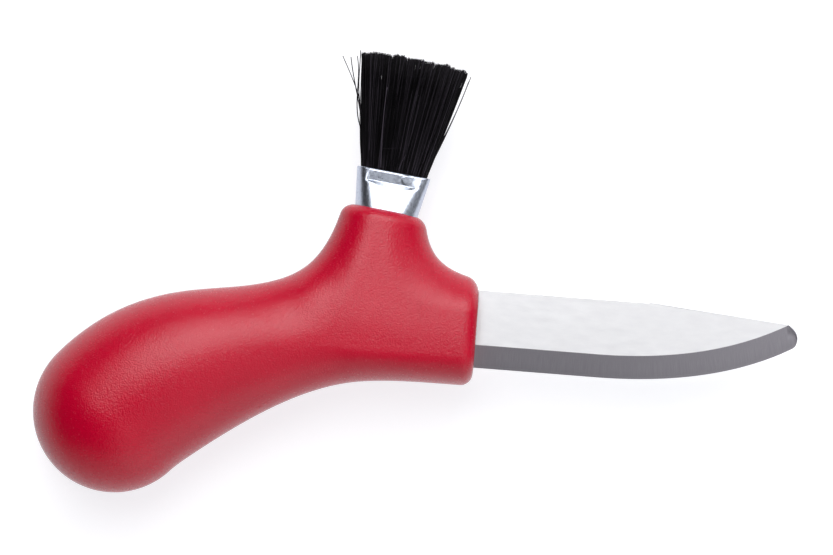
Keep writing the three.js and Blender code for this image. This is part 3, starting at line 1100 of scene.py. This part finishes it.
@dataclass
class Bristles:
    """The tuft, hair by hair, and the hairs that stand away from it."""

    axes: BrushAxes
    mouth: float = 8.2 * MM
    root: tuple[float, float] = (14.1 * MM, 3.3 * MM)
    tip: tuple[float, float] = (22.8 * MM, 7.6 * MM)
    length: float = 24.6 * MM
    crown: float = 0.9 * MM
    rounded_ends: tuple[float, float] = (0.82, 0.18)
    least_room: float = 0.02
    locks: int = 24
    lock_scatter: float = 0.015
    lock_uneven: float = 0.15 * MM
    lock_droop: float = 0.5
    lock_pull: float = 0.2
    sunk: float = 2 * MM
    hairs: int = 2400
    hair_uneven: float = 0.4 * MM
    tip_scatter: float = 0.3 * MM
    bow: tuple[float, float] = (0.18 * MM, 0.15 * MM)
    radius: float = 0.085 * MM
    radius_range: tuple[float, float] = (0.8, 1.15)
    pale_rarity: int = 6
    tuft_point: float = 0.45
    loose_point: float = 0.7
    bend_share: float = 0.7
    sides: int = 5
    joints: int = 6
    loose_joints: int = 18
    seed: int = 7
    loose: tuple[LooseHair, ...] = (
        LooseHair((-8.6, 16.6, 0.6), (-9.1, 22.0, 0.8), (-12.4, 26.1, 1.0), (-15.2, 30.3, 1.2), 0.15, 0.3),
        LooseHair((-8.8, 17.7, -0.4), (-10.2, 22.0, -0.3), (-12.2, 26.1, -0.2), (-13.5, 30.5, 0), 0.15, 0.3),
        LooseHair((-8.5, 15.8, 0.2), (-11.4, 20.5, 0.4), (-10.3, 26.0, 0.6), (-12.2, 30.9, 0.8), 0.14, 0.3),
        LooseHair((-9.0, 19.2, 0.9), (-11.0, 23.3, 1.2), (-11.0, 27.8, 1.4), (-11.7, 32.1, 1.5), 0.14, 0.3),
        LooseHair((7.8, 12.6, 0.5), (9.6, 18.6, 0.6), (11.0, 24.8, 0.7), (12.2, 31.0, 0.8), 0.14, 0.3),
        LooseHair((8.3, 15.0, -0.3), (9.9, 20.4, -0.2), (11.2, 25.2, 0.0), (11.9, 29.9, 0.2), 0.14, 0.3),
        LooseHair((-2.9, 8.6, 2.2), (-3.8, 14.4, 3.0), (-4.5, 19.9, 3.7), (-4.7, 25.4, 4.2), 0.13, 1.5),
        LooseHair((0.9, 8.8, 2.2), (1.1, 10.3, 2.5), (1.4, 11.2, 2.7), (1.8, 12.2, 2.9), 0.09, 1.1),
        LooseHair((-3.4, 12.5, 3.2), (-1.9, 12.8, 3.3), (-0.3, 13.3, 3.3), (1.2, 13.5, 3.2), 0.09, 0.8),
    )

    def tubes(
        self,
        name: str,
        paths: np.ndarray,
        radius: np.ndarray,
        point: float,
        shade: np.ndarray,
        datum: Datum,
        material: bpy.types.Material,
    ) -> bpy.types.Object:
        """Build tapered tubes along paths as one mesh.

        Args:
            name: name of the piece.
            paths: for each hair, rows of across, up and out.
            radius: radius of each hair at its root.
            point: share of that radius left at the tip.
            shade: share of the lighter colour in each hair.
            datum: where sizes start.
            material: finish of the hairs.

        Returns:
            The mesh object.
        """
        hairs, joints, _ = paths.shape
        turn = np.arange(self.sides) * 2 * math.pi / self.sides
        circle = np.stack([np.cos(turn), np.zeros(self.sides), np.sin(turn)], 1)
        thick = radius[:, None, None, None] * np.linspace(1, point, joints)[None, :, None, None]
        points = (paths[:, :, None, :] + thick * circle).reshape(-1, 3)
        per_hair = joints * self.sides
        wall = band_faces(joints, self.sides)[:, ::-1]
        side = np.arange(self.sides)
        faces = []
        for start in range(0, hairs * per_hair, per_hair):
            faces.extend((wall + start).tolist())
            faces.append((start + side).tolist())
            faces.append((start + per_hair - 1 - side).tolist())
        obj = new_object(name, datum.place(self.axes.place(points)), faces, [material])
        tone = obj.data.attributes.new("shade", "FLOAT", "POINT")
        tone.data.foreach_set("value", np.repeat(shade, per_hair).astype(np.float32))
        bend = [(0, self.mouth + up, 0) for up in (0.0, self.bend_share * self.length)]
        low, high = datum.place(self.axes.place(bend))
        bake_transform(obj)
        return obj

    def build_tuft(self, datum: Datum, material: bpy.types.Material) -> bpy.types.Object:
        """Build the tuft in place of the CAD one.

        Args:
            datum: where sizes start.
            material: finish of the hairs.

        Returns:
            The tuft.
        """
        rng = np.random.default_rng(self.seed)
        hairs = self.hairs // 1
        spread = rng.uniform(-1, 1, hairs)
        straight, rounded = self.rounded_ends
        past_straight = np.clip((np.abs(spread) - straight) / rounded, 0, 1)
        room = np.sqrt(np.clip(1 - past_straight**2, self.least_room, 1))
        depth = rng.uniform(-1, 1, hairs) * room
        low = np.full(hairs, self.mouth - self.sunk)
        foot = np.column_stack([spread * self.root[0] / 2, low, depth * self.root[1] / 2])
        neck = foot + [0, self.sunk, 0]
        locks = np.linspace(-1, 1, self.locks) + rng.normal(0, self.lock_scatter, self.locks)
        lock = np.abs(spread[:, None] - locks).argmin(1)
        gather = locks[lock] - spread
        uneven = rng.normal(0, self.lock_uneven, self.locks)[lock]
        uneven = uneven - np.abs(rng.normal(0, self.hair_uneven, hairs))
        half_width, half_depth = self.tip[0] / 2, self.tip[1] / 2
        droop = self.crown * spread**4 + self.lock_droop * np.abs(gather) * half_width
        top = self.mouth + self.length - droop + uneven
        reach = (spread + self.lock_pull * gather) * half_width + rng.normal(0, self.tip_scatter, hairs)
        reach = np.clip(reach, -half_width, half_width)
        out = depth * half_depth + rng.normal(0, self.tip_scatter, hairs)
        tip = np.column_stack([reach, top, out])
        sideways = rng.normal(0, self.bow[0], hairs)
        bow = np.column_stack([sideways, np.zeros(hairs), rng.normal(0, self.bow[1], hairs)])
        t = np.linspace(0, 1, self.joints)[None, :, None]
        free = neck[:, None] * (1 - t) + tip[:, None] * t + 4 * t * (1 - t) * bow[:, None]
        paths = np.concatenate([foot[:, None], free], 1)
        shade = rng.uniform(0, 1, hairs) ** self.pale_rarity
        thick = self.radius * rng.uniform(*self.radius_range, hairs)
        tuft = self.tubes("bristle_hairs", paths, thick, self.tuft_point, shade, datum, material)
        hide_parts("bristle_tuft")
        return tuft

    def build_strays(self, datum: Datum, material: bpy.types.Material) -> bpy.types.Object:
        """Build the loose hairs in place of the CAD ones: each leaves the tuft low down and ends free.

        Args:
            datum: where sizes start.
            material: finish of the hairs.

        Returns:
            The loose hairs.
        """
        paths = np.array([hair.path(self.loose_joints) for hair in self.loose])
        thick = np.array([hair.radius for hair in self.loose]) * MM
        shade = np.array([hair.shade for hair in self.loose])
        strays = self.tubes("loose_hairs", paths, thick, self.loose_point, shade, datum, material)
        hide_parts(*[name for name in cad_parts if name.startswith("stray")])
        return strays


@dataclass(frozen=True)
class Softbox:
    """A lamp with a soft oval face, a metre from the knife: degrees from straight above, metres, watts."""

    name: str
    right: float
    back: float
    size: tuple[float, float]
    power: float
    turn: float = 0.0
    distance: float = 1.0

    def build(self, aim: Vector) -> None:
        """Hang the lamp.

        Args:
            aim: point that it faces.
        """
        lamp = bpy.data.lights.new(self.name, "AREA")
        lamp.shape = "ELLIPSE"
        lamp.size, lamp.size_y = self.size
        lamp.energy = self.power
        slopes = [math.tan(math.radians(angle)) for angle in (self.right, self.back)]
        towards = Vector((*slopes, 1)).normalized()
        obj = bpy.data.objects.new(self.name, lamp)
        obj.location = aim + towards * self.distance
        facing = towards.to_track_quat("Z", "Y") @ Quaternion((0, 0, 1), math.radians(self.turn))
        obj.rotation_euler = facing.to_euler()
        obj.visible_camera = False
        bpy.context.scene.collection.objects.link(obj)


@dataclass
class Studio:
    """A white light table, soft lamps around it and the photograph's straight-down camera."""

    roll: float = math.radians(4.5)
    aim: tuple[float, float] = (-13.37 * MM, 9.75 * MM)
    width: float = 175.93 * MM
    lens: float = 150.0
    sensor: float = 36.0
    clip: tuple[float, float] = (0.01, 50.0)
    table_half: float = 3.0
    table_colour: str = "#b9b9b9"
    table_grain: float = 2 * MM
    table_roughness: tuple[float, float] = (0.75, 0.85)
    glow_colour: str = "#fafbff"
    glow: float = 0.74
    room_colour: str = "#d8dce6"
    room: float = 0.012
    lamps: tuple[Softbox, ...] = (
        Softbox("softbox_brush_side", right=-9, back=34, size=(0.7, 1.1), power=8.2, turn=-25),
        Softbox("softbox_far_right", right=34, back=54, size=(1.2, 0.9), power=4.0),
        Softbox("fill_near_right", right=47, back=-46, size=(1.5, 1.9), power=4.9),
        Softbox("fill_low_edge_side", right=8, back=-75, size=(2.4, 0.5), power=2.4),
        Softbox("glow_overhead", right=19, back=-3, size=(0.3, 0.6), power=0.58),
    )

    def build_floor(self) -> bpy.types.Object:
        """Lay a white sheet under the knife. Its glow is seen, also in reflections, but lights nothing.

        Returns:
            The floor.
        """
        material = new_material("white_acrylic_light_table")
        tree = material.node_tree
        place = add_node(tree, "ShaderNodeTexCoord").outputs["Object"]
        grain = add_node(tree, "ShaderNodeTexNoise", {"Scale": 1 / self.table_grain}, {"Vector": place})
        sheen = add_node(
            tree,
            "ShaderNodeMapRange",
            {"To Min": self.table_roughness[0], "To Max": self.table_roughness[1]},
            {"Value": grain.outputs["Fac"]},
        )
        ray = add_node(tree, "ShaderNodeLightPath").outputs
        seen = ray["Is Camera Ray"]
        for kind in ("Is Glossy Ray", "Is Transmission Ray"):
            either = add_node(tree, "ShaderNodeMath", links={0: seen, 1: ray[kind]}, operation="MAXIMUM")
            seen = either.outputs[0]
        glow = add_node(tree, "ShaderNodeMath", {1: self.glow}, {0: seen}, operation="MULTIPLY")
        shader = add_node(
            tree,
            "ShaderNodeBsdfPrincipled",
            {
                "Base Color": linear(self.table_colour),
                "Specular IOR Level": 0.0,
                "Emission Color": linear(self.glow_colour),
            },
            {"Roughness": sheen.outputs["Result"], "Emission Strength": glow.outputs[0]},
        )
        add_node(tree, "ShaderNodeOutputMaterial", links={"Surface": shader.outputs["BSDF"]})
        half = self.table_half
        corners = np.array([(-half, -half, 0), (half, -half, 0), (half, half, 0), (-half, half, 0)])
        floor = new_object("floor", corners, [[0, 1, 2, 3]], [material], smooth=False)
        return floor

    def build_light(self, datum: Datum) -> None:
        """Hang the lamps and set the dim room around them.

        Args:
            datum: where sizes start.
        """
        for lamp in self.lamps:
            lamp.build(datum.origin)
        world = bpy.data.worlds.new("dim_studio")
        world.use_nodes = True
        tree = world.node_tree
        tree.nodes.clear()
        colour = linear(self.room_colour)
        room = add_node(tree, "ShaderNodeBackground", {"Color": colour, "Strength": self.room})
        add_node(tree, "ShaderNodeOutputWorld", links={"Surface": room.outputs["Background"]})
        bpy.context.scene.world = world

    def build_camera(self, datum: Datum) -> bpy.types.Object:
        """Hang the camera straight above, turned as the photograph is.

        Args:
            datum: where sizes start.

        Returns:
            The camera.
        """
        data = bpy.data.cameras.new("camera")
        data.lens = self.lens
        data.sensor_width = self.sensor
        camera = bpy.data.objects.new("camera", data)
        distance = self.width * self.lens / self.sensor
        camera.location = datum.origin + Vector((*self.aim, distance))
        camera.rotation_euler = (0, 0, self.roll)
        data.clip_start, data.clip_end = self.clip
        bpy.context.scene.collection.objects.link(camera)
        bpy.context.scene.camera = camera
        return camera


def dress(nodes: Sequence[str], material: bpy.types.Material) -> None:
    """Give CAD nodes that stay in view a finish.

    Args:
        nodes: names of the nodes.
        material: their finish.
    """
    for name in nodes:
        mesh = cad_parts[name].data
        mesh.materials.clear()
        mesh.materials.append(material)


def main() -> None:
    """Build the looks piece by piece and the studio around them."""
    logging.basicConfig(level=logging.INFO, format="%(name)s: %(message)s")
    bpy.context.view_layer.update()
    datum = Datum.from_frame()
    axes = BrushAxes()
    # Rolled sheet, rubbed along its length: near-white with a faint mottle
    # The near-white is partly painted highlight: the flats are coloured lighter than the same steel on the
    # bevel
    satin = SteelFinish(
        name="satin_stainless_sheet",
        light="#eeeef0",
        dark="#e2e2e6",
        roughness=(0.3, 0.36),
        spread=0.5,
        across=1.2 * MM,
        along=4 * MM,
        depth=0.0005 * MM,
    )
    # Wheel-ground bevel: scratches square to the edge, drawn coarser than the grit's so that they show
    # Its steel is coloured darker than the flats', partly painted shade for the tilted bevel
    ground = SteelFinish(
        name="wheel_ground_stainless",
        light="#b1aeb5",
        dark="#8a8790",
        roughness=(0.36, 0.46),
        spread=0.3,
        across=0.14 * MM,
        along=4 * MM,
        depth=0.002 * MM,
    )
    # Honed edge: a closer scratch on a narrow strip, drawn coarser too
    # Coloured darker than the flats' too, partly painted shade
    honed = SteelFinish(
        name="honed_stainless_edge",
        light="#b4b1b8",
        dark="#928f98",
        roughness=(0.3, 0.38),
        spread=0.6,
        across=0.1 * MM,
        along=2 * MM,
        depth=0.001 * MM,
    )
    hair = BlackBristle().build()
    LOG.info("built %s", Handle(axes).build(datum, MouldedPlastic().build()).name)
    LOG.info("built %s", Blade().build(datum, [satin.build(), ground.build(), honed.build()]).name)
    LOG.info("built %s", Ferrule(axes).build(datum, Tinplate().build()).name)
    bristles = Bristles(axes)
    LOG.info("built %s", bristles.build_tuft(datum, hair).name)
    LOG.info("built %s", bristles.build_strays(datum, hair).name)
    dress(["setting_resin"], SetResin().build())
    dress(["bristle_root"], hair)
    studio = Studio()
    studio.build_floor()
    studio.build_light(datum)
    studio.build_camera(datum)
    bpy.context.scene.view_settings.view_transform = "Standard"


if __name__ == "__main__":
    main()
